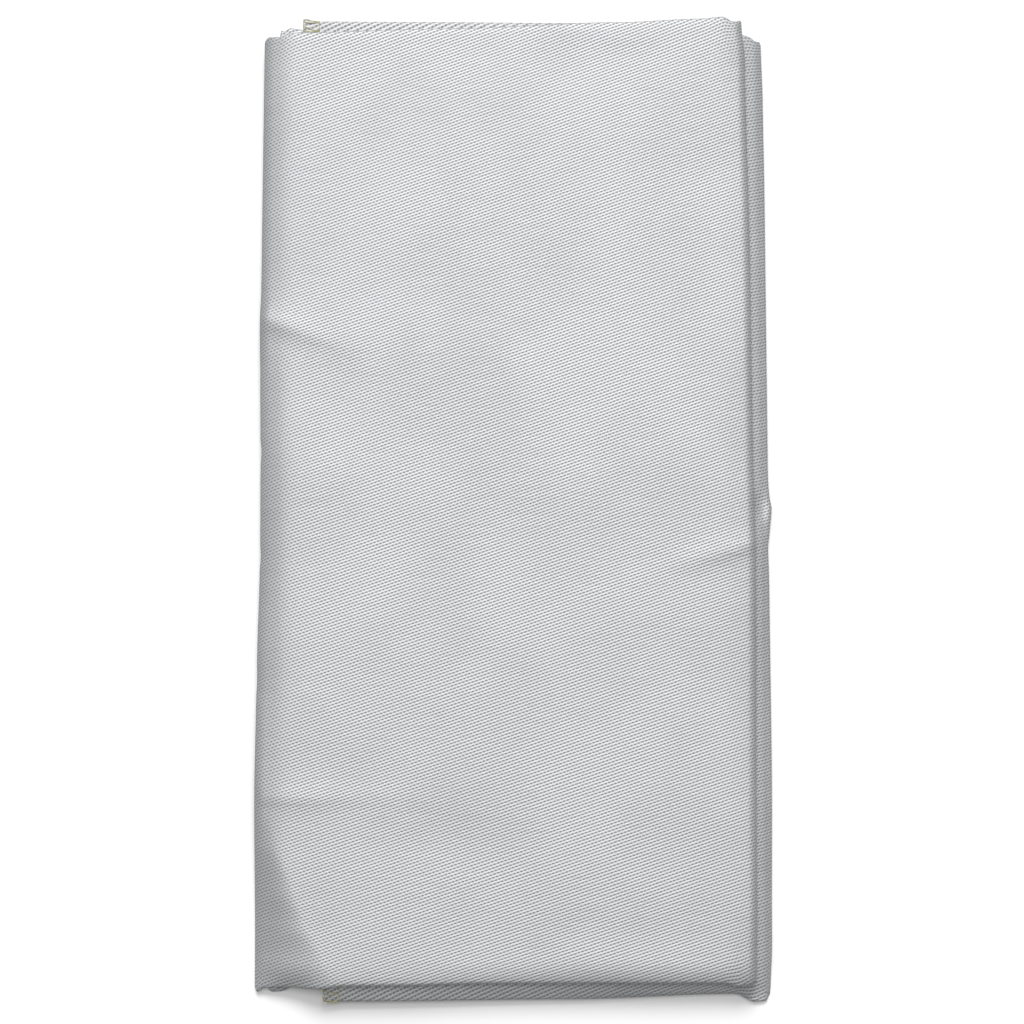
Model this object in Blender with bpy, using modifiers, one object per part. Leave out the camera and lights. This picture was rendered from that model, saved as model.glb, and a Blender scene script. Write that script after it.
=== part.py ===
"""Folded fire blanket: one sheet of coated glass cloth with overlocked edges.

The flat sheet is folded three times. Both ends go in over its centre third, like a letter. Both
sides then go in to the middle. Last, the pack closes like a book with its spine at -X. That gives
twelve layers: four quarters of three thirds each.

The pack lies on its back half. +X points from the spine to the open side, +Y runs along the
spine and +Z points up. The origin is under the middle of the pack. Units are metres.
"""

import math

import bmesh
import bpy
from mathutils import Matrix, Vector

COLLECTION = "fire_blanket"

# The cloth and its edge.
CLOTH = 0.0009  # thickness of one layer of coated cloth
LAYER_GAP = 0.0010  # air between two layers of the pack
SEAM_WIDTH = 0.011  # width of the overlocked band along a cut edge
SEAM_BUILD = 0.0004  # how much the thread wound round it thickens the cloth
SEAM_ROUNDING = 0.0004  # edge radius of the overlocked band

# The pack, outside sizes.
PACK_LENGTH = 0.602  # along Y, between the end folds of one half
BACK_WIDTH = 0.316  # along X, from the spine to the back half's side fold
FRONT_WIDTH = 0.306  # the same for the front half, which stops short of the back half
HALF_SHIFT = 0.008  # the front half lies this much further along +Y than the back half
SPINE_RADIUS = 0.007  # outside radius of the spine's two corners

# Where the cut edges lie inside the pack.
BACK_SETBACK = 0.036  # from the spine's outer face to the back half's cut side edge
FRONT_SETBACK = 0.026  # the same for the front half
END_SETBACK = 0.008  # from a folded-in third's cut end to the end fold that it reaches

# Making.
JOIN_GAP = 0.0003  # gap where two stretches of the sheet meet at a fold line
HALF_TURN_STEPS = 12  # flat strips round a half turn of cloth

# Sizes that follow from those above.
PITCH = CLOTH + LAYER_GAP
SEAM_THICKNESS = CLOTH + SEAM_BUILD
HALF_THICKNESS = 5 * PITCH + CLOTH
THICKNESS = 11 * PITCH + CLOTH
SPINE_X = -BACK_WIDTH / 2
CORNER_X = SPINE_X + SPINE_RADIUS
UPPER_CORNER_Z = THICKNESS - SPINE_RADIUS
TOP_FOLD_REACH = (PITCH + CLOTH) / 2
BOTTOM_FOLD_REACH = (2 * PITCH + CLOTH) / 2

# The three thirds of the sheet, from the outside of each quarter to its inside.
THIRDS = ("centre", "upper", "lower")

# Colour, roughness and metallic value.
FINISHES = {
    "cloth": ((0.62, 0.64, 0.65, 1.0), 0.42, 0.35),
    "thread": ((0.50, 0.47, 0.22, 1.0), 0.70, 0.0),
}


def clear_scene():
    """Remove every object of the startup scene."""
    for obj in list(bpy.data.objects):
        bpy.data.objects.remove(obj, do_unlink=True)


def layer_z(index):
    """Height of the middle of a layer, counted from the bottom of the pack."""
    return CLOTH / 2 + index * PITCH


def half_span(half):
    """Lowest and highest Y of one half of the pack."""
    centre = HALF_SHIFT / 2 if half == "front" else -HALF_SHIFT / 2
    return centre - PACK_LENGTH / 2, centre + PACK_LENGTH / 2


def third_span(half, third):
    """Y span of the flat part of a third, and whether each end is a cut end."""
    low, high = half_span(half)
    start = low + BOTTOM_FOLD_REACH + JOIN_GAP
    end = high - TOP_FOLD_REACH - JOIN_GAP
    if third == "upper":
        start = low + END_SETBACK
    if third == "lower":
        end = high - END_SETBACK
    return start, end


def side_fold_x(half):
    """X of the axis that a half's three side folds turn about."""
    width = FRONT_WIDTH if half == "front" else BACK_WIDTH
    return SPINE_X + width - HALF_THICKNESS / 2


def finish(obj, parent, kind):
    """Give an object its material and collection, and hang it on its body's empty."""
    colour, roughness, metallic = FINISHES[kind]
    material = bpy.data.materials.new(obj.name)
    material.use_nodes = True
    shader = material.node_tree.nodes["Principled BSDF"]
    shader.inputs["Base Color"].default_value = colour
    shader.inputs["Roughness"].default_value = roughness
    shader.inputs["Metallic"].default_value = metallic
    obj.data.materials.append(material)
    for collection in list(obj.users_collection):
        collection.objects.unlink(obj)
    bpy.data.collections[COLLECTION].objects.link(obj)
    obj.parent = parent
    obj.matrix_parent_inverse = Matrix.Translation(-parent.matrix_world.translation)


def body_empty(name, location, parent=None):
    """An empty on the axis that a body turns about."""
    empty = bpy.data.objects.new(name, None)
    empty.empty_display_size = 0.02
    bpy.data.collections[COLLECTION].objects.link(empty)
    empty.location = location
    if parent is not None:
        empty.parent = parent
        empty.matrix_parent_inverse = Matrix.Translation(-parent.matrix_world.translation)
    bpy.context.view_layer.update()
    return empty


def flat_piece(name, low, high, parent, kind="cloth"):
    """A flat stretch between two opposite corners."""
    low = Vector(low)
    high = Vector(high)
    bpy.ops.mesh.primitive_cube_add(size=1, location=(low + high) / 2)
    obj = bpy.context.object
    obj.name = name
    obj.scale = high - low
    bpy.ops.object.transform_apply(location=False, rotation=False, scale=True)
    finish(obj, parent, kind)
    return obj


def turned_piece(name, axis_point, axis, start, length, turn, parent):
    """Cloth bent round an axis: a straight line swept through a turn, then given its thickness.

    start is where the line begins, measured from axis_point, and the line runs along the axis.
    """
    axis = Vector(axis)
    start = Vector(start)
    bm = bmesh.new()
    near = bm.verts.new(start)
    far = bm.verts.new(start + axis * length)
    line = bm.edges.new((near, far))
    steps = max(3, round(HALF_TURN_STEPS * abs(turn) / math.pi))
    bmesh.ops.spin(bm, geom=[near, far, line], cent=(0, 0, 0), axis=axis, angle=turn, steps=steps)
    bmesh.ops.recalc_face_normals(bm, faces=bm.faces)
    mesh = bpy.data.meshes.new(name)
    bm.to_mesh(mesh)
    bm.free()
    mesh.shade_smooth()
    mesh.set_sharp_from_angle(angle=math.radians(40))
    obj = bpy.data.objects.new(name, mesh)
    obj.location = axis_point
    shell = obj.modifiers.new("cloth_thickness", "SOLIDIFY")
    shell.thickness = CLOTH
    shell.offset = 0
    shell.use_even_offset = True
    finish(obj, parent, "cloth")
    return obj


def seam_piece(name, low, high, parent):
    """The overlocked band along a cut edge, with rounded corners."""
    obj = flat_piece(name, low, high, parent, "thread")
    rounding = obj.modifiers.new("rounding", "BEVEL")
    rounding.width = SEAM_ROUNDING
    rounding.segments = 2


def build_third(quarter, half, third, layer, inner, body):
    """One flat third of a quarter, with the overlocked bands on its cut edges."""
    z = layer_z(layer)
    setback = FRONT_SETBACK if half == "front" else BACK_SETBACK
    x_start = SPINE_X + setback if inner else CORNER_X + JOIN_GAP
    x_end = side_fold_x(half) - JOIN_GAP
    y_start, y_end = third_span(half, third)
    seam_low = z - SEAM_THICKNESS / 2
    seam_high = z + SEAM_THICKNESS / 2
    if inner:
        seam_end = x_start + SEAM_WIDTH
        seam_piece(f"{quarter}_side_seam_{third}", (x_start, y_start, seam_low),
                   (seam_end, y_end, seam_high), body)
        x_start = seam_end + JOIN_GAP
    if third == "upper":
        seam_end = y_start + SEAM_WIDTH
        seam_piece(f"{quarter}_end_seam_upper", (x_start, y_start, seam_low),
                   (x_end, seam_end, seam_high), body)
        y_start = seam_end + JOIN_GAP
    if third == "lower":
        seam_start = y_end - SEAM_WIDTH
        seam_piece(f"{quarter}_end_seam_lower", (x_start, seam_start, seam_low),
                   (x_end, y_end, seam_high), body)
        y_end = seam_start - JOIN_GAP
    flat_piece(f"{quarter}_{third}_third", (x_start, y_start, z - CLOTH / 2),
               (x_end, y_end, z + CLOTH / 2), body)


def build_end_folds(quarter, half, layers, inner, body):
    """The two letter folds of a quarter: centre to upper at +Y, centre to lower at -Y."""
    setback = FRONT_SETBACK if half == "front" else BACK_SETBACK
    x_start = SPINE_X + setback if inner else CORNER_X + JOIN_GAP
    length = side_fold_x(half) - JOIN_GAP - x_start
    low, high = half_span(half)
    centre, upper, lower = (layer_z(layer) for layer in layers)
    top_axis = (x_start, high - TOP_FOLD_REACH, (centre + upper) / 2)
    turned_piece(f"{quarter}_top_fold", top_axis, (1, 0, 0), (0, 0, PITCH / 2), length,
                 -math.pi, body)
    bottom_axis = (x_start, low + BOTTOM_FOLD_REACH, (centre + lower) / 2)
    turned_piece(f"{quarter}_bottom_fold", bottom_axis, (1, 0, 0), (0, 0, PITCH), length,
                 math.pi, body)


def build_side_folds(half, lowest_layer, body):
    """The three nested side folds that join a half's outer and inner quarters."""
    axis_z = (layer_z(lowest_layer) + layer_z(lowest_layer + 5)) / 2
    for depth, third in enumerate(THIRDS):
        y_start, y_end = third_span(half, third)
        radius = (2.5 - depth) * PITCH
        turned_piece(f"{half}_side_fold_{third}", (side_fold_x(half), y_start, axis_z), (0, 1, 0),
                     (0, 0, radius), y_end - y_start, math.pi, body)


def build_spine(back, spine, front):
    """The nested spine layers: a corner on each half and a wall between the two corners."""
    for depth, third in enumerate(THIRDS):
        radius = SPINE_RADIUS - CLOTH / 2 - depth * PITCH
        back_start, back_end = third_span("back", third)
        front_start, front_end = third_span("front", third)
        turned_piece(f"spine_lower_corner_{third}", (CORNER_X, back_start, SPINE_RADIUS), (0, 1, 0),
                     (0, 0, -radius), back_end - back_start, math.pi / 2, back)
        turned_piece(f"spine_upper_corner_{third}", (CORNER_X, front_start, UPPER_CORNER_Z),
                     (0, 1, 0), (0, 0, radius), front_end - front_start, -math.pi / 2, front)
        wall_x = SPINE_X + depth * PITCH
        flat_piece(f"spine_wall_{third}", (wall_x, front_start, SPINE_RADIUS + JOIN_GAP),
                   (wall_x + CLOTH, back_end, UPPER_CORNER_Z - JOIN_GAP), spine)


def build_quarter(quarter, half, outer_layer, step, inner, body):
    """Three thirds and two end folds. step is the way inwards, +1 up or -1 down."""
    layers = [outer_layer + step * depth for depth in range(3)]
    for third, layer in zip(THIRDS, layers):
        build_third(quarter, half, third, layer, inner, body)
    build_end_folds(quarter, half, layers, inner, body)


def build():
    """Make the whole pack."""
    clear_scene()
    collection = bpy.data.collections.new(COLLECTION)
    bpy.context.scene.collection.children.link(collection)
    back = body_empty("back_half", (0, 0, 0))
    spine = body_empty("spine", (SPINE_X, 0, SPINE_RADIUS), back)
    front = body_empty("front_half", (SPINE_X, 0, UPPER_CORNER_Z), spine)
    build_quarter("back_outer", "back", 0, 1, False, back)
    build_quarter("back_inner", "back", 5, -1, True, back)
    build_quarter("front_inner", "front", 6, 1, True, front)
    build_quarter("front_outer", "front", 11, -1, False, front)
    build_side_folds("back", 0, back)
    build_side_folds("front", 6, front)
    build_spine(back, spine, front)


build()
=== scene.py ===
"""Looks of the folded fire blanket: coated glass cloth, overlocked edges, studio light and camera.

The cloth is one formula. A point of the flat sheet is named by s, its distance from the cut side
edge, and v, its distance from one cut end. The sheet folds in thirds along v, and the strip that
this gives folds along s. A shared warp then adds the slack, skew and creases of a real pack.
"""

import math

import bpy
import numpy as np
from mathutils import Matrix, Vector


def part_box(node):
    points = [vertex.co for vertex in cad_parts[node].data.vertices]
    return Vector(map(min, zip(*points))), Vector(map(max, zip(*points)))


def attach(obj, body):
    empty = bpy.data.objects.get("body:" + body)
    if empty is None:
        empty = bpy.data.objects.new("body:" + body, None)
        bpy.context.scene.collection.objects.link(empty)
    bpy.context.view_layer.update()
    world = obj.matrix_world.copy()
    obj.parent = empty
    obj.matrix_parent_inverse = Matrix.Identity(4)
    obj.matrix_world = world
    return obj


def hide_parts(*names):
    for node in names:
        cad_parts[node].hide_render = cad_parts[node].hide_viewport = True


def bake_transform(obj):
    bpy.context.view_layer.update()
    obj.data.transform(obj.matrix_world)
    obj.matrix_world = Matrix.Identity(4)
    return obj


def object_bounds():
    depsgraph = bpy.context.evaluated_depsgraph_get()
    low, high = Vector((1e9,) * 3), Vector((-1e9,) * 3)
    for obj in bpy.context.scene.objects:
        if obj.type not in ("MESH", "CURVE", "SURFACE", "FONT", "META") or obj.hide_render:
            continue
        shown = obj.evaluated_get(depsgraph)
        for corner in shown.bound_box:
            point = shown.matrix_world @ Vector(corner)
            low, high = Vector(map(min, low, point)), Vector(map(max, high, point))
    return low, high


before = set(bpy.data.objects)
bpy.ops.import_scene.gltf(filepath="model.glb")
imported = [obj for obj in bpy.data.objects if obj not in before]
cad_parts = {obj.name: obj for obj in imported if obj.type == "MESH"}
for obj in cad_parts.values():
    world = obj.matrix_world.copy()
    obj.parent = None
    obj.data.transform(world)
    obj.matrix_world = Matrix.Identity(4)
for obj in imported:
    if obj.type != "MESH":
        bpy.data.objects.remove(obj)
CAD_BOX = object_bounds()

# ---------------------------------------------------------------- sizes read from the frame

OUTER_LOW, OUTER_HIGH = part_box("back_outer_centre_third")
CLOTH = OUTER_HIGH.z - OUTER_LOW.z
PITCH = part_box("back_outer_upper_third")[0].z - OUTER_LOW.z
THICKNESS = CAD_BOX[1].z
SPINE_X = CAD_BOX[0].x
JOIN_GAP = 0.0003  # between the spine's wall and the corner below it
SPINE_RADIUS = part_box("spine_wall_centre")[0].z - JOIN_GAP
CORNER_X = SPINE_X + SPINE_RADIUS
SIDE_RADIUS = 2.5 * PITCH  # of the side fold's outermost layer
BOTTOM_REACH = (2 * PITCH + CLOTH) / 2  # outer radius of the wide end fold at the bottom
TOP_REACH = (PITCH + CLOTH) / 2  # and of the tight one at the top
NOMINAL_HEIGHT = 0.602  # length of the pack before its slack
END_SETBACK = 0.008  # how far the sheet's cut ends stop short of the end folds

# ---------------------------------------------------------------- slack and skew of the real pack
# Outlines are (place, value) pairs in metres, joined by smooth steps. Those of the sides go by y
# and those of the ends by x. Each half has three outer layers and three inner ones.

# Sideways shift of the spine and of the two side folds, and the place of the cut side edges.
LEFT_SHIFT = [(-0.300, -0.0004), (-0.180, -0.0012), (-0.125, -0.0008), (-0.112, -0.0004),
              (-0.100, -0.0006), (-0.045, 0.0003), (-0.036, 0.0009), (-0.026, 0.0004),
              (0.020, 0.0001), (0.030, 0.0006), (0.040, -0.0002), (0.070, -0.0006),
              (0.113, -0.0012), (0.133, -0.0006), (0.295, -0.0004)]
RIGHT_SHIFT = {
    "front": [(-0.298, -0.0004), (-0.247, 0.0004), (-0.028, 0.0020), (0.031, 0.0010),
              (0.140, 0.0006), (0.282, -0.0012), (0.303, -0.0030)],
    "back": [(-0.306, -0.0008), (-0.270, 0.0006), (-0.161, 0.0016), (-0.050, 0.0014),
             (-0.028, 0.0010), (-0.016, 0.0024), (-0.0045, 0.0036), (0.006, 0.0018),
             (0.020, 0.0014), (0.192, 0.0014), (0.257, 0.0010), (0.297, 0.0002)],
}
CUT_EDGE = {
    "front": [(-0.300, -0.128), (0.300, -0.132)],
    "back": [(-0.309, -0.1150), (0.309, -0.1330)],
}
# How far up and down the outer layers reach.
TOP_OUTER = {
    "front": [(-0.158, 0.2926), (-0.1568, 0.2946), (-0.1551, 0.2956), (-0.1490, 0.2948),
              (-0.137, 0.2972), (-0.046, 0.2997), (0.067, 0.3036), (0.122, 0.3062),
              (0.136, 0.3076), (0.1415, 0.3047), (0.1445, 0.3048), (0.147, 0.3064),
              (0.1488, 0.3040)],
    "back": [(-0.158, 0.2926), (-0.1568, 0.2946), (-0.1551, 0.2956), (-0.1496, 0.2950),
             (-0.1486, 0.3046), (-0.1466, 0.3039), (-0.1425, 0.3060), (-0.1336, 0.3048),
             (-0.060, 0.3010), (0.1485, 0.2992), (0.1505, 0.2982), (0.1536, 0.2962),
             (0.1570, 0.2967), (0.1590, 0.2948)],
}
BOTTOM_OUTER = {
    "front": [(-0.158, -0.3010), (-0.1565, -0.3027), (-0.1526, -0.3000), (-0.1390, -0.2993),
              (-0.118, -0.3002), (-0.102, -0.2984), (-0.075, -0.2982), (-0.008, -0.2967),
              (0.128, -0.2967), (0.138, -0.2990), (0.146, -0.2975)],
    "back": [(-0.158, -0.3010), (-0.1565, -0.3027), (-0.1526, -0.3000), (-0.1504, -0.3004),
             (-0.1474, -0.3026), (-0.1425, -0.3023), (-0.1330, -0.2990), (-0.110, -0.2990),
             (0.136, -0.3034), (0.1436, -0.3058), (0.1487, -0.3085), (0.1548, -0.3081),
             (0.1572, -0.3050), (0.1590, -0.2990)],
}
# Straight lines that each half's ends follow on the whole: the place of the left and right end.
BOTTOM_LINE = {"front": (-0.2992, -0.2967), "back": (-0.3000, -0.3060)}
TOP_LINE = {"front": (0.2950, 0.3066), "back": (0.3010, 0.2972)}
END_FADE = 0.012  # distance from an end over which its own shape fades
# How far up and down the inner layers reach.
TOP_INNER = {
    "front": [(-0.130, 0.2960), (0.143, 0.3058)],
    "back": [(-0.1335, 0.3094), (-0.1275, 0.3076), (0.060, 0.3070), (0.110, 0.3060),
             (0.1485, 0.2992), (0.1505, 0.2982), (0.1536, 0.2962), (0.1590, 0.2948)],
}
BOTTOM_INNER = {
    "front": [(-0.130, -0.2940), (0.140, -0.2967)],
    "back": [(-0.115, -0.3088), (-0.102, -0.3084), (0.034, -0.3069), (0.136, -0.3034),
             (0.1487, -0.3085), (0.1548, -0.3081), (0.1590, -0.2990)],
}


def smooth_steps(places, knots):
    """Joins (place, value) pairs by smooth steps, and holds the end values outside them."""
    xs = np.array([knot[0] for knot in knots])
    ys = np.array([knot[1] for knot in knots])
    at = np.clip(places, xs[0], xs[-1])
    index = np.clip(np.searchsorted(xs, at, side="right") - 1, 0, len(xs) - 2)
    t = (at - xs[index]) / (xs[index + 1] - xs[index])
    t = t * t * (3 - 2 * t)
    return ys[index] + t * (ys[index + 1] - ys[index])


CREASE_ONSET = 0.02  # share of a crease's length over which it starts, on each side of its start
CREASE_FADE = 0.8  # share over which it fades out
CREST_SHARPNESS = 1.6
CREST_ROUNDING = 0.02


def ridge(x, y, start, end, height, widths, above):
    """A crease from start to end that widens and fades, and is wider on its upper side."""
    start = np.array(start)
    along = np.array(end) - start
    length = np.hypot(*along)
    along = along / length
    t = ((x - start[0]) * along[0] + (y - start[1]) * along[1]) / length
    across = -(x - start[0]) * along[1] + (y - start[1]) * along[0]
    clipped = np.clip(t, 0, 1)
    width = widths[0] + (widths[1] - widths[0]) * clipped
    width = width * np.where(across * along[0] > 0, above, 1)
    fade = np.clip((t + CREASE_ONSET) / (2 * CREASE_ONSET), 0, 1)
    fade = fade * np.clip((1 - t) / CREASE_FADE, 0, 1)
    fade = fade * fade * (3 - 2 * fade)
    softened = np.sqrt((across / width) ** 2 + CREST_ROUNDING)
    return height * fade * np.exp(-softened * CREST_SHARPNESS)


def dent(x, y, centre, size, depth):
    """A soft round hollow, or a swelling when depth is negative."""
    dx = (x - centre[0]) / size[0]
    dy = (y - centre[1]) / size[1]
    return -depth * np.exp(-(dx * dx + dy * dy))


WAVE_COUNT = 14
WAVE_LENGTHS = (0.05, 0.16)
WAVE_HEIGHT = 0.00007  # of a swell 0.1 m long, and in proportion for others


def waves(x, y):
    """Slow swells all over the pack."""
    total = np.zeros(np.broadcast(x, y).shape)
    rng = np.random.default_rng(7)
    for _ in range(WAVE_COUNT):
        angle = rng.uniform(0, math.pi)
        length = rng.uniform(*WAVE_LENGTHS)
        phase = rng.uniform(0, 2 * math.pi)
        height = WAVE_HEIGHT * length / 0.1
        way = x * math.cos(angle) + y * math.sin(angle)
        total = total + height * np.sin(2 * math.pi * way / length + phase)
    return total


# Each crease: start, end, height, its width at both, and how much wider it is on its upper side.
CREASES = [
    ((-0.157, 0.112), (-0.066, 0.084), 0.0029, (0.0045, 0.026), 2.0),
    ((-0.156, -0.186), (-0.020, -0.183), 0.0013, (0.0030, 0.018), 2.2),
    ((0.151, -0.029), (0.070, -0.050), 0.0021, (0.0026, 0.016), 2.5),
]
# Each hollow: centre, size along x and y, and depth, which is negative for a swelling.
DENTS = [
    ((-0.062, -0.212), (0.060, 0.018), 0.0008),
    ((0.060, 0.297), (0.036, 0.011), -0.0013),
    ((0.004, 0.244), (0.014, 0.014), 0.0006),
    ((0.050, -0.267), (0.050, 0.014), 0.0006),
    ((-0.112, 0.058), (0.026, 0.034), 0.0010),
    ((0.100, 0.030), (0.040, 0.045), -0.0013),
    ((-0.126, 0.030), (0.020, 0.060), -0.0006),
    ((-0.126, -0.110), (0.020, 0.060), -0.0006),
    ((0.1545, -0.0042), (0.0042, 0.0050), 0.0075),
    ((-0.138, -0.302), (0.015, 0.008), 0.0050),
]
BOTTOM_ROLL = [(-0.110, 0.0008), (0.070, 0.0036)]  # how far the bottom end rolls down, along x
BOTTOM_ROLL_Y, BOTTOM_ROLL_WIDTH = -0.284, 0.014  # where that starts, and over what width
INNER_EDGE_X, INNER_EDGE_WIDTH = 0.001, 0.0015  # an inner layer's edge that shows through
INNER_EDGE_STEP = 0.00012
INNER_EDGE_LENGTH = 0.075  # to each side of the middle


def relief(x, y):
    """Height that creases, hollows and swells add to the top of the pack."""
    total = waves(x, y)
    for crease in CREASES:
        total = total + ridge(x, y, *crease)
    for hollow in DENTS:
        total = total + dent(x, y, *hollow)
    rolled = np.clip((BOTTOM_ROLL_Y - y) / BOTTOM_ROLL_WIDTH, 0, 1) ** 2
    total = total - smooth_steps(x, BOTTOM_ROLL) * rolled
    step = np.tanh((x - INNER_EDGE_X) / INNER_EDGE_WIDTH)
    return total + INNER_EDGE_STEP * step * np.exp(-(y / INNER_EDGE_LENGTH) ** 4)


# The lower corner at the spine is pressed into a facet, whose width depends on y.
FACET_WIDTH = [(-0.300, 0.050), (-0.282, 0.042), (-0.262, 0.031), (-0.240, 0.023),
               (-0.212, 0.013), (-0.186, 0.006)]
FACET_TOP, FACET_ONSET = -0.180, 0.100  # where it begins, and the length over which it deepens
FACET_POWER = 1.7
FACET_PRESS = 0.38  # share of the height that it loses at the spine
HOLLOW_SPINE = 0.0085  # how far the empty space between the halves closes under the facet
HOLLOW_LEVEL, HOLLOW_SPAN = 0.22, 0.56  # where that space begins and ends, in shares of the height

# Shares of the height that the pack loses at the spine and at the side folds, along y.
SPINE_ROLL = [(-0.300, 0.18), (-0.190, 0.15), (-0.174, 0.12), (-0.100, 0.22), (0.000, 0.27),
              (0.060, 0.22), (0.112, 0.10), (0.160, 0.17), (0.300, 0.20)]
SPINE_ROLL_WIDTH = 0.0105
FOLD_ROLL = [(-0.300, 0.16), (-0.240, 0.09), (0.230, 0.08), (0.290, 0.17)]
FOLD_ROLL_X, FOLD_ROLL_WIDTH = 0.126, 0.024

# Shares that the back half gains at its free top end, and loses at its bottom end and side fold.
BACK_LEVEL, BACK_LEVEL_SPAN = 0.60, 0.10  # what counts as the back half, in shares of the height
TOP_SWELL, TOP_SWELL_WIDTH = 0.24, 0.0100
BACK_END_SLOPE = [(-0.110, 0.14), (0.150, 0.50)]
BACK_END_Y, BACK_END_WIDTH = -0.2945, 0.0110
BACK_FOLD_SLOPE = [(-0.300, 0.50), (-0.180, 0.38), (0.300, 0.36)]
BACK_FOLD_X, BACK_FOLD_WIDTH = 0.1445, 0.0120


def facet(x, y):
    """From 0 to 1, how far the lower corner at the spine is pressed down at a place."""
    strength = np.clip((FACET_TOP - y) / FACET_ONSET, 0, 1)
    strength = strength * strength * (3 - 2 * strength)
    near = np.clip(1 - (x - SPINE_X) / smooth_steps(y, FACET_WIDTH), 0, 1)
    return strength * near ** FACET_POWER


def settle(x, y, z):
    """The height in the real pack of a point at a nominal height."""
    pressed = facet(x, y)
    # The inner layers end short of the spine, so the space that they leave closes first.
    level = np.clip((z / THICKNESS - HOLLOW_LEVEL) / HOLLOW_SPAN, 0, 1)
    z = z - HOLLOW_SPINE * pressed * level * level * (3 - 2 * level)
    near_spine = np.exp(-(np.clip(x - SPINE_X, 0, None) / SPINE_ROLL_WIDTH) ** 2)
    near_fold = np.clip((x - FOLD_ROLL_X) / FOLD_ROLL_WIDTH, 0, 1) ** 2
    thinning = smooth_steps(y, SPINE_ROLL) * near_spine
    thinning = thinning + smooth_steps(y, FOLD_ROLL) * near_fold
    # The back half stands out at the top, where nothing presses its end flat.
    lower = np.clip((BACK_LEVEL - z / THICKNESS) / BACK_LEVEL_SPAN, 0, 1)
    beyond = y - smooth_steps(x, TOP_OUTER["front"])
    z = z * (1 + TOP_SWELL * lower * np.clip(beyond / TOP_SWELL_WIDTH, 0, 1))
    # Its bottom end and side fold slope away where the front half does not reach.
    end_share = np.clip((BACK_END_Y - y) / BACK_END_WIDTH, 0, 1) ** 2
    fold_share = np.clip((x - BACK_FOLD_X) / BACK_FOLD_WIDTH, 0, 1) ** 2
    z = z * (1 - smooth_steps(x, BACK_END_SLOPE) * lower * end_share)
    z = z * (1 - smooth_steps(y, BACK_FOLD_SLOPE) * lower * fold_share)
    return z * (1 - thinning - FACET_PRESS * pressed + relief(x, y) / THICKNESS)


# ---------------------------------------------------------------- the folded sheet

SIDE_FOLD_X = {half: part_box(half + "_side_fold_centre")[0].x for half in ("back", "front")}
EDGE_X = {half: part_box(half + "_inner_side_seam_centre")[0].x for half in ("back", "front")}
CORNER_LENGTH = (SPINE_RADIUS - CLOTH / 2) * math.pi / 2
WALL_LENGTH = THICKNESS / 2 - SPINE_RADIUS  # up to the middle of the spine, where the halves meet


def strip_marks(half):
    """Distances s at which the strip changes from flat to fold and back."""
    fold = SIDE_FOLD_X[half]
    lengths = [fold - EDGE_X[half], math.pi * SIDE_RADIUS, fold - CORNER_X, CORNER_LENGTH,
               WALL_LENGTH]
    return np.concatenate([[0], np.cumsum(lengths)])


# Distances v at which the sheet changes from flat to fold and back.
SHEET_MARKS = np.concatenate([[0], np.cumsum([
    NOMINAL_HEIGHT - END_SETBACK - BOTTOM_REACH,
    math.pi * PITCH,
    NOMINAL_HEIGHT - TOP_REACH - BOTTOM_REACH,
    math.pi * PITCH / 2,
    NOMINAL_HEIGHT - TOP_REACH - END_SETBACK])])


def letter_fold(v):
    """Height up the strip and depth below its outer face, for a distance v along the sheet."""
    marks = SHEET_MARKS
    turn = np.clip((v - marks[1]) / (marks[2] - marks[1]), 0, 1) * math.pi
    turn_back = np.clip((v - marks[3]) / (marks[4] - marks[3]), 0, 1) * math.pi
    up = np.where(v < marks[1], BOTTOM_REACH + marks[1] - v, BOTTOM_REACH - PITCH * np.sin(turn))
    depth = PITCH + PITCH * np.cos(turn)
    centre = v >= marks[2]
    up = np.where(centre, BOTTOM_REACH + v - marks[2], up)
    depth = np.where(centre, 0, depth)
    top = NOMINAL_HEIGHT - TOP_REACH
    over = v >= marks[3]
    up = np.where(over, top + PITCH / 2 * np.sin(turn_back), up)
    depth = np.where(over, PITCH / 2 - PITCH / 2 * np.cos(turn_back), depth)
    up = np.where(v >= marks[4], top - (v - marks[4]), up)
    return up, depth


def strip_fold(half, s, depth, y_guess):
    """Place across the pack and height above the half's outer face, for a point of the strip."""
    marks = strip_marks(half)
    fold = SIDE_FOLD_X[half]
    edge = smooth_steps(y_guess, CUT_EDGE[half])
    x = edge + s / marks[1] * (fold - edge)
    h = 5 * PITCH - depth
    turn = (s - marks[1]) / SIDE_RADIUS
    bent = (s >= marks[1]) & (s < marks[2])
    x = np.where(bent, fold + (SIDE_RADIUS - depth) * np.sin(turn), x)
    h = np.where(bent, SIDE_RADIUS + (SIDE_RADIUS - depth) * np.cos(turn), h)
    flat = s >= marks[2]
    x = np.where(flat, fold - (s - marks[2]), x)
    h = np.where(flat, depth, h)
    radius = SPINE_RADIUS - CLOTH / 2
    turn = np.clip((s - marks[3]) / radius, 0, math.pi / 2)
    corner = s >= marks[3]
    x = np.where(corner, CORNER_X - (radius - depth) * np.sin(turn), x)
    h = np.where(corner, radius - (radius - depth) * np.cos(turn), h)
    h = h + np.where(s > marks[4], s - marks[4], 0)
    return x, h + CLOTH / 2


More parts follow.
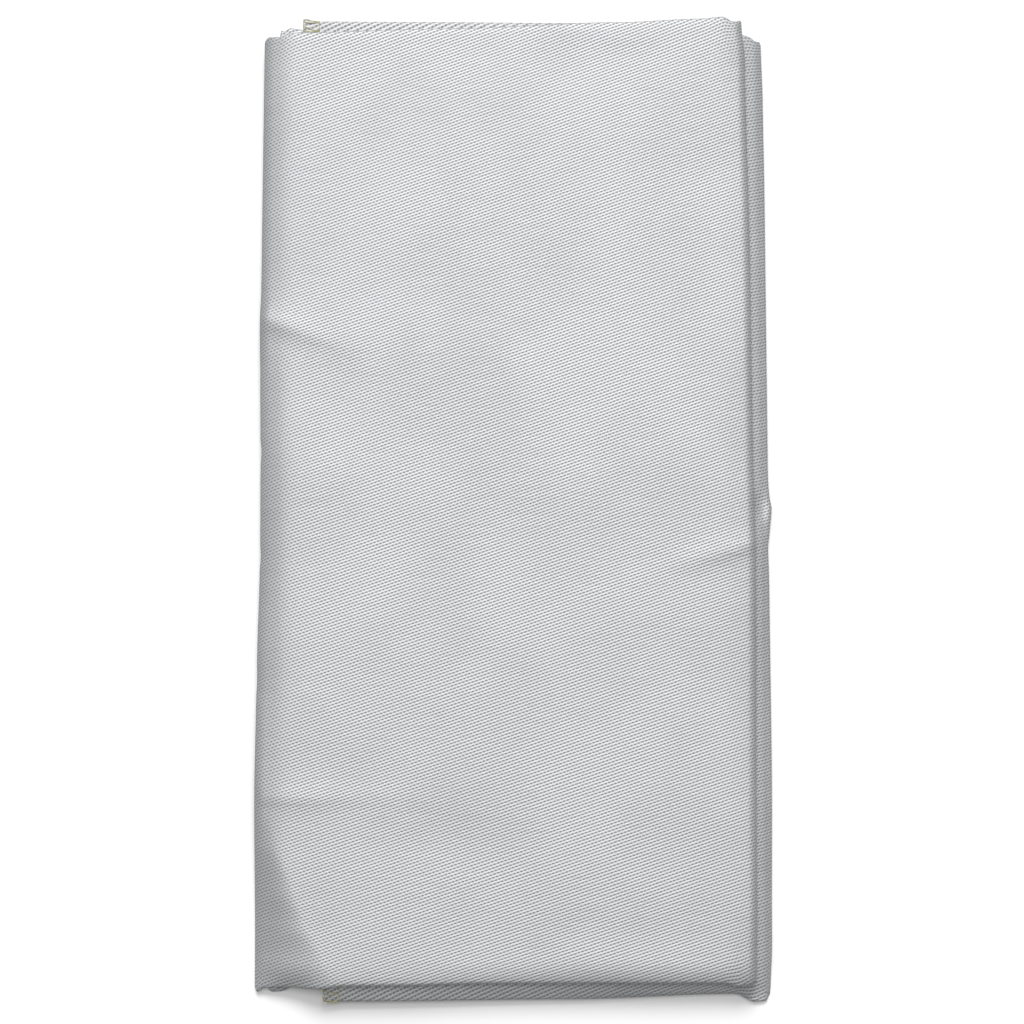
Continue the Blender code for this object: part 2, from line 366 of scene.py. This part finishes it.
def place(half, s, v):
    """The point of the folded pack at (s, v) of a half's sheet."""
    s, v = np.broadcast_arrays(np.asarray(s, float), np.asarray(v, float))
    up, depth = letter_fold(v)
    marks = strip_marks(half)
    share = up / NOMINAL_HEIGHT
    x, h = strip_fold(half, s, depth, (share - 0.5) * NOMINAL_HEIGHT)
    outer = s > (marks[1] + marks[2]) / 2
    low = np.where(outer, smooth_steps(x, BOTTOM_OUTER[half]),
                   smooth_steps(x, BOTTOM_INNER[half]))
    high = np.where(outer, smooth_steps(x, TOP_OUTER[half]), smooth_steps(x, TOP_INNER[half]))
    rightward = (x - SPINE_X) / (SIDE_FOLD_X[half] + SIDE_RADIUS - SPINE_X)
    low_line = BOTTOM_LINE[half][0] + rightward * (BOTTOM_LINE[half][1] - BOTTOM_LINE[half][0])
    high_line = TOP_LINE[half][0] + rightward * (TOP_LINE[half][1] - TOP_LINE[half][0])
    from_low = np.clip(up, 0, None)
    from_high = np.clip(NOMINAL_HEIGHT - up, 0, None)
    y = low_line + share * (high_line - low_line)
    y = y + (low - low_line) * np.exp(-from_low / END_FADE)
    y = y + (high - high_line) * np.exp(-from_high / END_FADE)
    z = THICKNESS - h if half == "front" else h
    across = np.clip((x - SPINE_X) / (SIDE_FOLD_X[half] - SPINE_X), 0, 1)
    x = (x + (1 - across) * smooth_steps(y, LEFT_SHIFT)
         + across * smooth_steps(y, RIGHT_SHIFT[half]))
    return np.stack([x, y, settle(x, y, z)], -1)


def sheet_u(half, s):
    """Distance across the whole sheet, from the back half's cut edge."""
    back = strip_marks("back")[-1]
    return s if half == "back" else back + strip_marks("front")[-1] - s


def stretch(start, end, step):
    """Sample places from start up to but not including end."""
    count = max(2, round((end - start) / step))
    return np.linspace(start, end, count, endpoint=False)


def samples(marks, steps):
    """Sample places along a folded length, each stretch between two marks with its own step."""
    parts = [stretch(a, b, step) for a, b, step in zip(marks[:-1], marks[1:], steps)]
    return np.concatenate(parts + [[marks[-1]]])


def new_piece(name, verts, faces, material):
    """A mesh object in the scene, shaded smooth."""
    mesh = bpy.data.meshes.new(name)
    mesh.from_pydata([tuple(p) for p in verts], [], [tuple(f) for f in faces])
    mesh.shade_smooth()
    mesh.materials.append(material)
    obj = bpy.data.objects.new(name, mesh)
    bpy.context.scene.collection.objects.link(obj)
    return obj


EDGE_REACH = 0.012  # finely sampled width beside the cut edge
FOLD_REACH = 0.018  # on each side of the side fold
SPINE_REACH = 0.046  # and beside the spine
# Sample steps across each half's strip: from the cut edge, over the side fold, to the spine wall.
STRIP_STEPS = {
    "back": (0.0015, 0.006, 0.0015, 0.0012, 0.0015, 0.010, 0.0009, 0.0012, 0.0013),
    "front": (0.006, 0.012, 0.003, 0.0010, 0.0015, 0.0036, 0.0018, 0.0012, 0.0013),
}
# And along the sheet: innermost third, bottom fold, outer third, top fold, middle third.
SHEET_STEPS = {
    "back": (0.015, 0.0009, 0.006, 0.0006, 0.015),
    "front": (0.015, 0.0009, 0.0034, 0.0006, 0.015),
}


def cloth_piece(name, half, material):
    """One half of the folded sheet, with its weave coordinates in metres of flat cloth."""
    edge, inner, outer, corner, wall, end = strip_marks(half)
    s = samples([edge, edge + EDGE_REACH, inner - FOLD_REACH, inner, outer, outer + FOLD_REACH,
                 corner - SPINE_REACH, corner, wall, end], STRIP_STEPS[half])
    v = samples(SHEET_MARKS, SHEET_STEPS[half])
    grid_s, grid_v = np.meshgrid(s, v, indexing="ij")
    points = place(half, grid_s, grid_v)
    rows, columns = grid_s.shape
    index = np.arange(rows * columns).reshape(rows, columns)
    quads = np.stack([index[:-1, :-1], index[:-1, 1:], index[1:, 1:], index[1:, :-1]], -1)
    quads = quads.reshape(-1, 4)
    if half == "back":
        quads = quads[:, ::-1]
    obj = new_piece(name, points.reshape(-1, 3), quads, material)
    u = sheet_u(half, grid_s).reshape(-1)
    layer = obj.data.uv_layers.new(name="weave")
    corners = quads.reshape(-1)
    coordinates = np.stack([u[corners], grid_v.reshape(-1)[corners]], -1)
    layer.uv.foreach_set("vector", coordinates.astype(np.float32).ravel())
    # Sharp cut edges keep the shading of the faces clear of the rim.
    ends = np.empty(len(obj.data.edges) * 2, dtype=np.int32)
    obj.data.edges.foreach_get("vertices", ends)
    row, column = np.divmod(ends.reshape(-1, 2), columns)
    cut = (row[:, 0] == row[:, 1]) & np.isin(row[:, 0], (0, rows - 1))
    cut = cut | (column[:, 0] == column[:, 1]) & np.isin(column[:, 0], (0, columns - 1))
    obj.data.edges.foreach_set("use_edge_sharp", cut)
    shell = obj.modifiers.new("cloth_thickness", "SOLIDIFY")
    shell.thickness = CLOTH
    shell.offset = 0
    return obj


# ---------------------------------------------------------------- overlock threads

THREAD_RADIUS = 0.00024
THREAD_SIDES = 5
STITCH = 0.0036  # length of one stitch
NEEDLE_INSET = 0.0092  # distance of the needle line from the cut edge
SEAM_MARGIN = 0.0004  # cloth without stitches at each end of a seam
NORMAL_STEP = 0.0004  # distance over which the sheet's slope is measured
INWARD_STEP = 0.0005  # and its direction away from a cut edge


def surface_frame(half, s, v):
    """Points of the sheet and its outward unit normals."""
    point = place(half, s, v)
    along_s = place(half, s + NORMAL_STEP, v) - place(half, s - NORMAL_STEP, v)
    along_v = place(half, s, v + NORMAL_STEP) - place(half, s, v - NORMAL_STEP)
    normal = np.cross(along_s, along_v)
    normal = normal / np.linalg.norm(normal, axis=-1, keepdims=True)
    if half == "back":
        normal = -normal
    return point, normal


def seam_lines(half):
    """Each cut edge of a half: its length, and (s, v) from a distance along it and one into it."""
    s_end = strip_marks(half)[-1]
    v_end = SHEET_MARKS[-1]
    yield v_end, lambda along, into: (into, along)
    yield s_end, lambda along, into: (along, into)
    yield s_end, lambda along, into: (along, v_end - into)


def tube(points, radius, sides):
    """Vertices and faces of a closed tube along a line of points."""
    tangent = np.gradient(points, axis=0)
    tangent = tangent / np.linalg.norm(tangent, axis=1, keepdims=True)
    side = np.cross(tangent, np.array([0.31, 0.22, 0.93]))  # a direction that no line runs along
    side = side / np.linalg.norm(side, axis=1, keepdims=True)
    other = np.cross(tangent, side)
    angle = np.arange(sides) * 2 * math.pi / sides
    ring = (np.cos(angle)[None, :, None] * side[:, None]
            + np.sin(angle)[None, :, None] * other[:, None])
    verts = (points[:, None] + radius * ring).reshape(-1, 3)
    start = (np.arange(len(points) - 1) * sides)[:, None]
    corner = np.arange(sides)[None]
    following = (corner + 1) % sides
    faces = np.stack([start + corner, start + following, start + sides + following,
                      start + sides + corner], -1).reshape(-1, 4).tolist()
    faces.append(list(range(sides))[::-1])
    faces.append([(len(points) - 1) * sides + k for k in range(sides)])
    return verts, faces


def tubes_piece(name, lines, radius, sides, material):
    """One object of closed tubes, each along its own line of points."""
    verts, faces, total = [], [], 0
    for line in lines:
        new_verts, new_faces = tube(line, radius, sides)
        verts.append(new_verts)
        faces += [[i + total for i in face] for face in new_faces]
        total += len(new_verts)
    return new_piece(name, np.concatenate(verts), faces, material)


def thread_piece(name, half, routes, material):
    """Threads of the overlock along all three cut edges of a half, as tubes."""
    lines = []
    for length, to_sheet in seam_lines(half):
        for route in routes:
            along, into, lift = route(length)
            s, v = to_sheet(along, np.maximum(into, 0))
            point, normal = surface_frame(half, s, v)
            beyond_s, beyond_v = to_sheet(along, np.maximum(into, 0) + INWARD_STEP)
            inward = place(half, beyond_s, beyond_v) - point
            inward = inward / np.linalg.norm(inward, axis=1, keepdims=True)
            outside = np.minimum(into, 0)[:, None]
            lines.append(point + normal * lift[:, None] + inward * outside)
    return tubes_piece(name, lines, THREAD_RADIUS, THREAD_SIDES, material)


# One stitch of each thread, point by point: the share of the stitch, how far the loop reaches into
# the cloth in shares of the needle's inset, and its height in shares of a thread that lies flat.
NEEDLE_SHARES = np.array([0.0, 0.10, 0.30, 0.55, 0.80, 0.92])
NEEDLE_LIFTS = np.array([0.3, 0.95, 1.1, 1.1, 0.95, 0.5])
LOOPER_SHARES = np.array([0.02, 0.10, 0.20, 0.31, 0.40, 0.52, 0.68, 0.80, 0.90, 0.96])
LOOPER_REACHES = np.array([1.0, 0.80, 0.45, 0.12, -0.03, -0.07, -0.06, 0.02, 0.40, 0.80])
LOOPER_LIFTS = np.array([1.0, 1.05, 1.0, 1.0, 0.75, 0.25, 0.25, 0.75, 1.2, 1.4])
LOOPER_CLEARANCE = 1.08  # the loopers lie this much higher, over the needle thread
LOWER_LOOPER_OFFSET = 0.22  # stitches by which the lower looper lags behind the upper one


def stitch_places(length, shares, offset=0.0):
    """How many stitches a seam has, and the distances along it of all their points."""
    count = int((length - 2 * SEAM_MARGIN) / STITCH)
    places = np.arange(count)[:, None] + shares[None] + offset
    return count, SEAM_MARGIN + places.ravel() * STITCH


def needle_route(face):
    """Straight stitches along the needle line on one face, dipping at each needle hole."""
    def route(length):
        count, along = stitch_places(length, NEEDLE_SHARES)
        lift = NEEDLE_LIFTS * face * (CLOTH / 2 + THREAD_RADIUS)
        return along, np.full(along.shape, NEEDLE_INSET), np.tile(lift, count)
    return route


def looper_route(face):
    """Loops that run from the needle line to the cut edge and back on one face of the cloth."""
    def route(length):
        offset = 0.0 if face > 0 else LOWER_LOOPER_OFFSET
        count, along = stitch_places(length, LOOPER_SHARES, offset)
        lift = LOOPER_LIFTS * (CLOTH / 2 + THREAD_RADIUS) * face * LOOPER_CLEARANCE
        return along, np.tile(LOOPER_REACHES * NEEDLE_INSET, count), np.tile(lift, count)
    return route


FILAMENT_COUNT = 26
FILAMENT_RADIUS = 0.00007
FILAMENT_SIDES = 4
FILAMENT_LENGTHS = (0.0010, 0.0034)
FILAMENT_AIMS = (-2.5, -1.2)  # directions across the floor, as angles
FILAMENT_CURLS = (-0.5, 0.5)  # how far they turn from root to tip
FILAMENT_RISE = 0.25  # steepest rise or fall for its length
FRAY_SPREAD = 0.00025
FRAY_INSET = 0.0006  # of the roots from the cut edge


def fray_piece(name, material):
    """Loose glass filaments at the worn lower corner of the back half's cut edge."""
    rng = np.random.default_rng(11)
    v_corner = (SHEET_MARKS[1] + SHEET_MARKS[2]) / 2
    root = place("back", FRAY_INSET, v_corner)
    t = np.linspace(0, 1, 7)
    lines = []
    for _ in range(FILAMENT_COUNT):
        aim = rng.uniform(*FILAMENT_AIMS)
        length = rng.uniform(*FILAMENT_LENGTHS)
        direction = aim + rng.uniform(*FILAMENT_CURLS) * t
        start = root + rng.normal(0, FRAY_SPREAD, 3)
        lines.append(start + length * np.stack([
            t * np.cos(direction), t * np.sin(direction),
            FILAMENT_RISE * t * rng.uniform(-1, 1)], -1))
    return tubes_piece(name, lines, FILAMENT_RADIUS, FILAMENT_SIDES, material)


# ---------------------------------------------------------------- materials

YARN = 0.00074  # yarn pitch of the cloth
LINE_LENGTH = math.sqrt(10)  # yarns between two binding points on one twill line
HOLLOW_LONG = 0.97  # size of the hollow at a binding point along its twill line, in yarns
HOLLOW_WIDE = 0.45  # and across it
HOLLOW_DEPTH = 0.36  # of the hollow, in yarns, as its slopes show it
ROW_ROUNDING = 0.15  # steepest slope across a row of yarn
# Painted shade: the hollows at the binding points get a dark base colour, which stands in for the
# shade that falls in them.
HOLLOW_SHADE = 0.78  # share of the dark colour at the bottom of a hollow
PAINTED_HOLLOW_SHADE = (0.133, 0.138, 0.147, 1)
FLOAT_COLOURS = (0.566, 0.574, 0.585, 1), (0.606, 0.614, 0.625, 1)  # of the long floats of yarn
STREAK_COLOUR = (0.695, 0.703, 0.712, 1)
STREAK_SCALE = (30.0, 900.0, 1.0)  # streaks are long across the sheet and narrow along it
THREAD_COLOURS = (0.42, 0.40, 0.16, 1), (0.66, 0.63, 0.33, 1)
FILAMENT_COLOURS = (0.80, 0.80, 0.76, 1), (0.95, 0.95, 0.93, 1)
FLOOR_GREY = (0.38, 0.38, 0.38, 1)  # what the floor reflects
FLOOR_WHITE = (0.95, 0.95, 0.95, 1)  # and what the camera sees of it


class Nodes:
    """Shorthand for building a material's node tree."""

    def __init__(self, name):
        self.material = bpy.data.materials.new(name)
        self.material.use_nodes = True
        self.tree = self.material.node_tree
        self.shader = self.tree.nodes["Principled BSDF"]

    def add(self, kind, **settings):
        """A new node with these settings."""
        node = self.tree.nodes.new(kind)
        for key, value in settings.items():
            setattr(node, key, value)
        return node

    def link(self, source, target):
        """Joins an output to an input."""
        self.tree.links.new(source, target)

    def put(self, value, socket):
        """Links or sets an input."""
        if isinstance(value, bpy.types.NodeSocket):
            self.link(value, socket)
        else:
            socket.default_value = value

    def math(self, operation, *values):
        """The result of an arithmetic node."""
        node = self.add("ShaderNodeMath", operation=operation)
        for value, socket in zip(values, node.inputs):
            self.put(value, socket)
        return node.outputs[0]

    def ramp(self, factor, low, high, to_low, to_high):
        """Carries the range low to high over to another one, by a smooth step."""
        node = self.add("ShaderNodeMapRange", interpolation_type="SMOOTHSTEP")
        for value, socket in zip((factor, low, high, to_low, to_high), node.inputs):
            self.put(value, socket)
        return node.outputs[0]

    def mix(self, factor, first, second):
        """A blend of two colours."""
        node = self.add("ShaderNodeMix", data_type="RGBA")
        self.put(factor, node.inputs[0])
        self.put(first, node.inputs[6])
        self.put(second, node.inputs[7])
        return node.outputs[2]

    def noise(self, vector, scale, detail=3.0):
        """Noise from 0 to 1 at a place."""
        node = self.add("ShaderNodeTexNoise")
        self.link(vector, node.inputs["Vector"])
        node.inputs["Scale"].default_value = scale
        node.inputs["Detail"].default_value = detail
        return node.outputs["Fac"]


def cloth_material():
    """Eight-harness satin of glass yarn under a thin silver-grey coating."""
    n = Nodes("coated_cloth")
    shader = n.shader
    shader.inputs["Metallic"].default_value = 0.46
    shader.inputs["Coat Weight"].default_value = 0.38
    shader.inputs["Coat Roughness"].default_value = 0.25
    uv = n.add("ShaderNodeUVMap", uv_map="weave")
    split = n.add("ShaderNodeSeparateXYZ")
    n.link(uv.outputs[0], split.inputs[0])
    a = n.math("DIVIDE", split.outputs[0], YARN)
    b = n.math("DIVIDE", split.outputs[1], YARN)
    # A yarn is bound at each eighth crossing, and each row's bindings lie 3 yarns further on, so
    # they lie on twill lines. Distances from the nearest binding, across its line and along it.
    line = n.math("DIVIDE", n.math("SUBTRACT", a, n.math("MULTIPLY_ADD", b, 3.0, -1.5)), 8.0)
    near_line = n.math("ROUND", line)
    across = n.math("MULTIPLY", n.math("SUBTRACT", line, near_line), 8 / LINE_LENGTH)
    forward = n.math("MULTIPLY_ADD", a, 3.0, n.math("SUBTRACT", b, 0.5))
    bind = n.math("DIVIDE", n.math("SUBTRACT", forward, n.math("MULTIPLY", near_line, 24.0)), 10.0)
    along = n.math("MULTIPLY", n.math("SUBTRACT", bind, n.math("ROUND", bind)), LINE_LENGTH)
    spread = n.math("ADD",
                    n.math("MULTIPLY", n.math("MULTIPLY", along, along), -0.5 / HOLLOW_LONG ** 2),
                    n.math("MULTIPLY", n.math("MULTIPLY", across, across), -0.5 / HOLLOW_WIDE ** 2))
    hollow = n.math("EXPONENT", spread)
    # Slopes of the yarn surface: a hollow at each binding point, and each row a little round.
    steep_along = n.math("MULTIPLY", n.math("MULTIPLY", along, hollow),
                         HOLLOW_DEPTH / HOLLOW_LONG ** 2)
    steep_across = n.math("MULTIPLY", n.math("MULTIPLY", across, hollow),
                          HOLLOW_DEPTH / HOLLOW_WIDE ** 2)
    turn = n.math("MULTIPLY", b, 2 * math.pi)
    rounding = n.math("MULTIPLY", n.math("SINE", turn), -ROW_ROUNDING)
    slope_a = n.math("MULTIPLY_ADD", steep_along, 3 / LINE_LENGTH,
                     n.math("MULTIPLY", steep_across, 1 / LINE_LENGTH))
    slope_b = n.math("ADD", rounding,
                     n.math("MULTIPLY_ADD", steep_across, 3 / LINE_LENGTH,
                            n.math("MULTIPLY", steep_along, -1 / LINE_LENGTH)))
    red = n.math("MULTIPLY_ADD", slope_a, -0.5, 0.5)
    green = n.math("MULTIPLY_ADD", slope_b, 0.5, 0.5)
    combine = n.add("ShaderNodeCombineXYZ")
    n.link(red, combine.inputs[0])
    n.link(green, combine.inputs[1])
    combine.inputs[2].default_value = 1.0
    bend = n.add("ShaderNodeNormalMap", uv_map="weave")
    bend.inputs["Strength"].default_value = 1.0
    n.link(combine.outputs[0], bend.inputs["Color"])
    n.link(bend.outputs[0], shader.inputs["Normal"])
    n.link(bend.outputs[0], shader.inputs["Coat Normal"])
    # Colour: light floats, painted shade darkening the hollows, and slow changes in the coating.
    mottle = n.noise(uv.outputs[0], 14.0)
    stretched = n.add("ShaderNodeVectorMath", operation="MULTIPLY")
    n.link(uv.outputs[0], stretched.inputs[0])
    stretched.inputs[1].default_value = STREAK_SCALE
    streak = n.noise(stretched.outputs[0], 1.0, 1.0)
    float_colour = n.mix(n.ramp(mottle, 0.35, 0.65, 0.0, 1.0), *FLOAT_COLOURS)
    float_colour = n.mix(n.ramp(streak, 0.35, 0.70, 0.0, 0.35), float_colour, STREAK_COLOUR)
    # Painted shade: the dark colour is mixed in by the depth of each hollow.
    n.link(n.mix(n.math("MULTIPLY", hollow, HOLLOW_SHADE), float_colour, PAINTED_HOLLOW_SHADE),
           shader.inputs["Base Color"])
    n.link(n.ramp(hollow, 0.0, 1.0, 0.58, 0.75), shader.inputs["Roughness"])
    return n.material


def thread_material():
    """Matt olive-yellow aramid sewing thread with a fine twist."""
    n = Nodes("aramid_thread")
    shader = n.shader
    where = n.add("ShaderNodeTexCoord").outputs["Object"]
    patch = n.noise(where, 900.0)
    n.link(n.mix(n.ramp(patch, 0.3, 0.7, 0.0, 1.0), *THREAD_COLOURS), shader.inputs["Base Color"])
    shader.inputs["Roughness"].default_value = 0.72
    bump = n.add("ShaderNodeBump")
    bump.inputs["Strength"].default_value = 0.5
    bump.inputs["Distance"].default_value = 0.0001
    n.link(n.noise(where, 3500.0), bump.inputs["Height"])
    n.link(bump.outputs[0], shader.inputs["Normal"])
    return n.material


def fray_material():
    """Bare white glass filament."""
    n = Nodes("glass_filament")
    where = n.add("ShaderNodeTexCoord").outputs["Object"]
    n.link(n.mix(n.noise(where, 700.0), *FILAMENT_COLOURS), n.shader.inputs["Base Color"])
    n.shader.inputs["Roughness"].default_value = 0.35
    return n.material


def floor_material():
    """Plain white studio floor that throws little light back up at the blanket."""
    n = Nodes("studio_floor")
    seen = n.add("ShaderNodeLightPath").outputs["Is Camera Ray"]
    n.link(n.mix(seen, FLOOR_GREY, FLOOR_WHITE), n.shader.inputs["Base Color"])
    n.shader.inputs["Roughness"].default_value = 0.9
    return n.material


# ---------------------------------------------------------------- build the pack


def cad_nodes(*beginnings, seams):
    """CAD nodes whose names begin so, either the overlocked bands or the plain cloth."""
    return [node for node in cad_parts
            if node.startswith(beginnings) and ("_seam_" in node) == seams]


def bend_with_joint(piece, half):
    """Bakes the transform of a piece of one half into its mesh, alike for either half."""
    if half == "back":
        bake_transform(piece)
    else:
        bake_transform(piece)


def build_half(half, cloth, thread):
    """The cloth and the three threads of one half."""
    sheet = cloth_piece(half + "_cloth", half, cloth)
    threads = [
        thread_piece(half + "_needle_thread", half, [needle_route(1), needle_route(-1)], thread),
        thread_piece(half + "_upper_looper_thread", half, [looper_route(1)], thread),
        thread_piece(half + "_lower_looper_thread", half, [looper_route(-1)], thread)]
    for piece in [sheet] + threads:
        bend_with_joint(piece, half)
    return sheet, threads


cloth = cloth_material()
thread = thread_material()
back_sheet, back_threads = build_half("back", cloth, thread)
front_sheet, front_threads = build_half("front", cloth, thread)
fray = fray_piece("corner_fray", fray_material())
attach(fray, "back_half")

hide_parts(*cad_nodes("back", "spine_lower", "spine_wall", seams=False))
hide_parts(*cad_nodes("front", "spine_upper", seams=False))
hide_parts(*cad_nodes("back", seams=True))
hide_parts(*cad_nodes("front", seams=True))

# ---------------------------------------------------------------- floor, light and camera

FLOOR_SIZE = 4
FLOOR_HEIGHT = -0.0002  # just below the cloth, so the two never share a plane
HORIZON = 0.08  # brightness of the studio's walls, as the blanket sees them
ZENITH = 0.55  # brightness of its ceiling
CEILING_WAY = (-0.10, 0.45, 0.887)  # towards the brightest part of the ceiling
BACKDROP = 0.95  # brightness of the background behind the floor
# Each light: name, place, what it points at, diameter and power.
LIGHTS = [
    ("key", (-0.2, 5.6, 6.4), (0, 0, 0), 4.0, 500),
    ("overhead", (-0.05, 0.15, 2.9), (0, -0.1, 0), 1.6, 25),
]
CAMERA_TARGET = (-0.0010, -0.0077, 0.011)
CAMERA_DISTANCE = 1.6
CAMERA_TILT = math.radians(7.0)  # from straight down
CAMERA_LENS, CAMERA_SENSOR = 90.34, 36


def area_light(name, location, target, size, power):
    """A round soft light that points at a target."""
    data = bpy.data.lights.new(name, "AREA")
    data.shape = "DISK"
    data.size = size
    data.energy = power
    light = bpy.data.objects.new(name, data)
    light.location = location
    aim = np.array(target) - np.array(location)
    light.rotation_mode = "QUATERNION"
    light.rotation_quaternion = Vector(aim).to_track_quat("-Z", "Y")
    bpy.context.scene.collection.objects.link(light)


def build_stage():
    """White floor, a studio that is brighter above than at its walls, and the lights."""
    bpy.ops.mesh.primitive_plane_add(size=FLOOR_SIZE, location=(0, 0, FLOOR_HEIGHT))
    floor = bpy.context.object
    floor.name = "floor"
    floor.data.materials.append(floor_material())
    world = bpy.data.worlds.new("studio")
    bpy.context.scene.world = world
    world.use_nodes = True
    tree = world.node_tree
    background = tree.nodes["Background"]
    where = tree.nodes.new("ShaderNodeTexCoord")
    lean = tree.nodes.new("ShaderNodeVectorMath")
    lean.operation = "DOT_PRODUCT"
    lean.inputs[1].default_value = CEILING_WAY
    tree.links.new(where.outputs["Generated"], lean.inputs[0])
    gradient = tree.nodes.new("ShaderNodeMapRange")
    tree.links.new(lean.outputs["Value"], gradient.inputs[0])
    gradient.inputs[3].default_value = HORIZON
    gradient.inputs[4].default_value = ZENITH
    seen = tree.nodes.new("ShaderNodeLightPath")
    choice = tree.nodes.new("ShaderNodeMix")
    tree.links.new(seen.outputs["Is Camera Ray"], choice.inputs[0])
    tree.links.new(gradient.outputs[0], choice.inputs[2])
    choice.inputs[3].default_value = BACKDROP
    tree.links.new(choice.outputs[0], background.inputs["Strength"])
    background.inputs["Color"].default_value = (1, 1, 1, 1)
    for light in LIGHTS:
        area_light(*light)
    bpy.context.scene.view_settings.view_transform = "Standard"


def build_camera():
    """The photo's view, almost from straight above."""
    data = bpy.data.cameras.new("camera")
    data.lens = CAMERA_LENS
    data.sensor_width = CAMERA_SENSOR
    camera = bpy.data.objects.new("camera", data)
    away = np.array([0, -math.sin(CAMERA_TILT), math.cos(CAMERA_TILT)])
    camera.location = np.array(CAMERA_TARGET) + CAMERA_DISTANCE * away
    camera.rotation_euler = (CAMERA_TILT, 0, 0)
    bpy.context.scene.collection.objects.link(camera)
    bpy.context.scene.camera = camera


build_stage()
build_camera()
